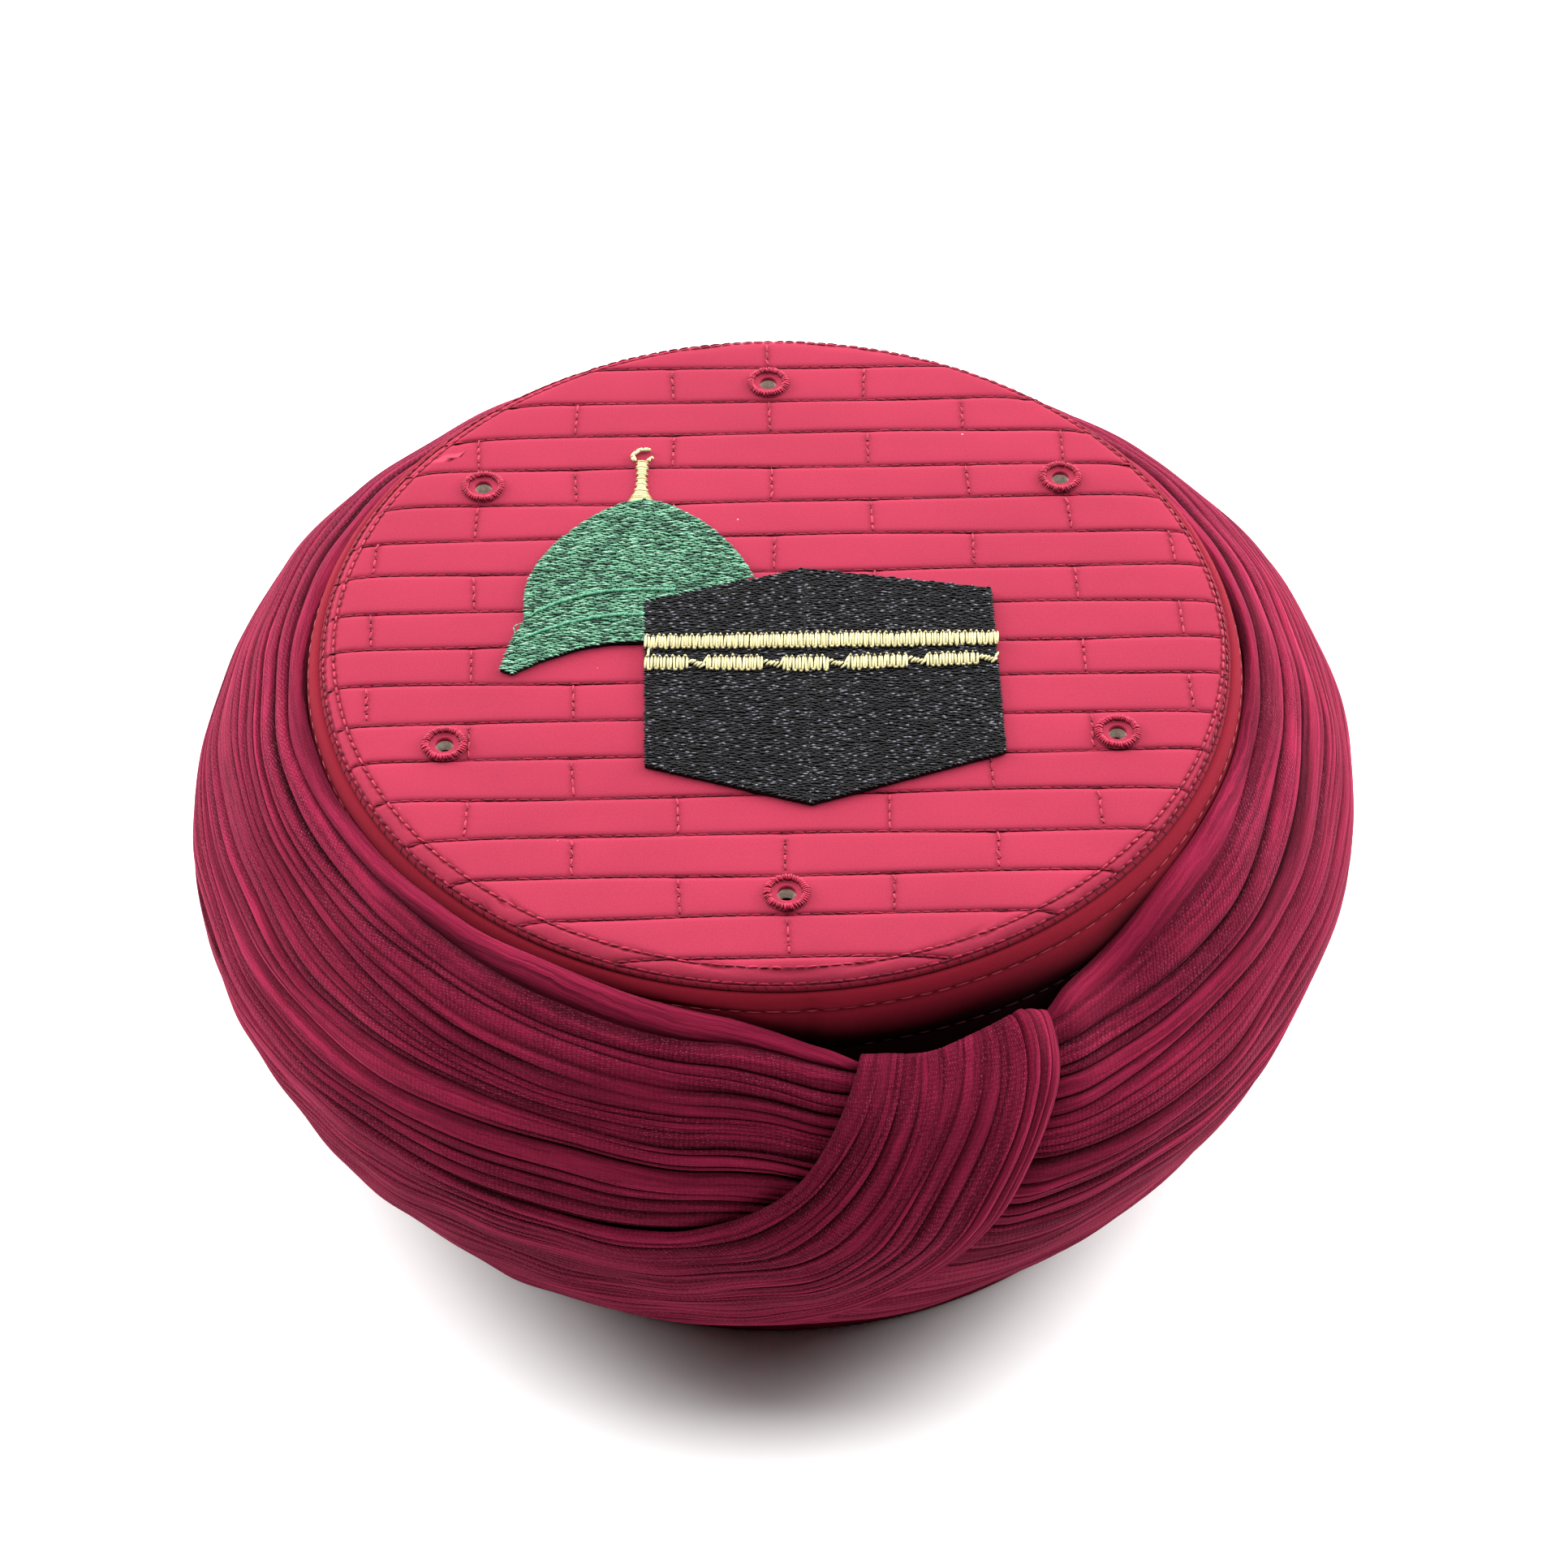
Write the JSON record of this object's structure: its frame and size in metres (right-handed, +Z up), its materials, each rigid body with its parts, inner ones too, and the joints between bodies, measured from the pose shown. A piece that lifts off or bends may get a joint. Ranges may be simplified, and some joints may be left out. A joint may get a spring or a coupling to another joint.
{
  "type": "wrapped turban",
  "caption": "Ready-wrapped turban: a stiff cap with a flat quilted crown and stitched figures, wound with pleated wine gauze that bulges all round and folds over the rim in front.",
  "frame": {"origin": "centre of the cap, at the plane of its lower rim", "axes": "+Z up out of the crown, the wearer's front faces -Y, +X to the right of someone looking at the front"},
  "size_m": [0.24, 0.2456, 0.109],
  "materials": {
    "crown_cloth": "matt rose-red cotton, quilted in long bricks",
    "band_cloth": "matt red cotton, top-stitched",
    "wine_gauze": "open-weave cotton gauze in fine pleats",
    "green_thread": "shiny green embroidery thread",
    "black_thread": "shiny black embroidery thread",
    "gold_thread": "pale gold satin-stitch thread"
  },
  "bodies": {
    "root": {"crown_panel": "crown_cloth", "side_band": "band_cloth", "eyelet_1": "crown_cloth", "eyelet_2": "crown_cloth", "eyelet_3": "crown_cloth", "eyelet_4": "crown_cloth", "eyelet_5": "crown_cloth", "eyelet_6": "crown_cloth", "dome_embroidery": "green_thread", "finial_embroidery": "gold_thread", "cube_embroidery": "black_thread", "gold_band_upper": "gold_thread", "gold_band_lower": "gold_thread", "wrap_turn_1": "wine_gauze", "wrap_turn_2": "wine_gauze", "wrap_turn_3": "wine_gauze", "wrap_turn_4": "wine_gauze", "wrap_turn_5": "wine_gauze", "wrap_turn_6": "wine_gauze", "front_fold": "wine_gauze"}
  },
  "joints": []
}
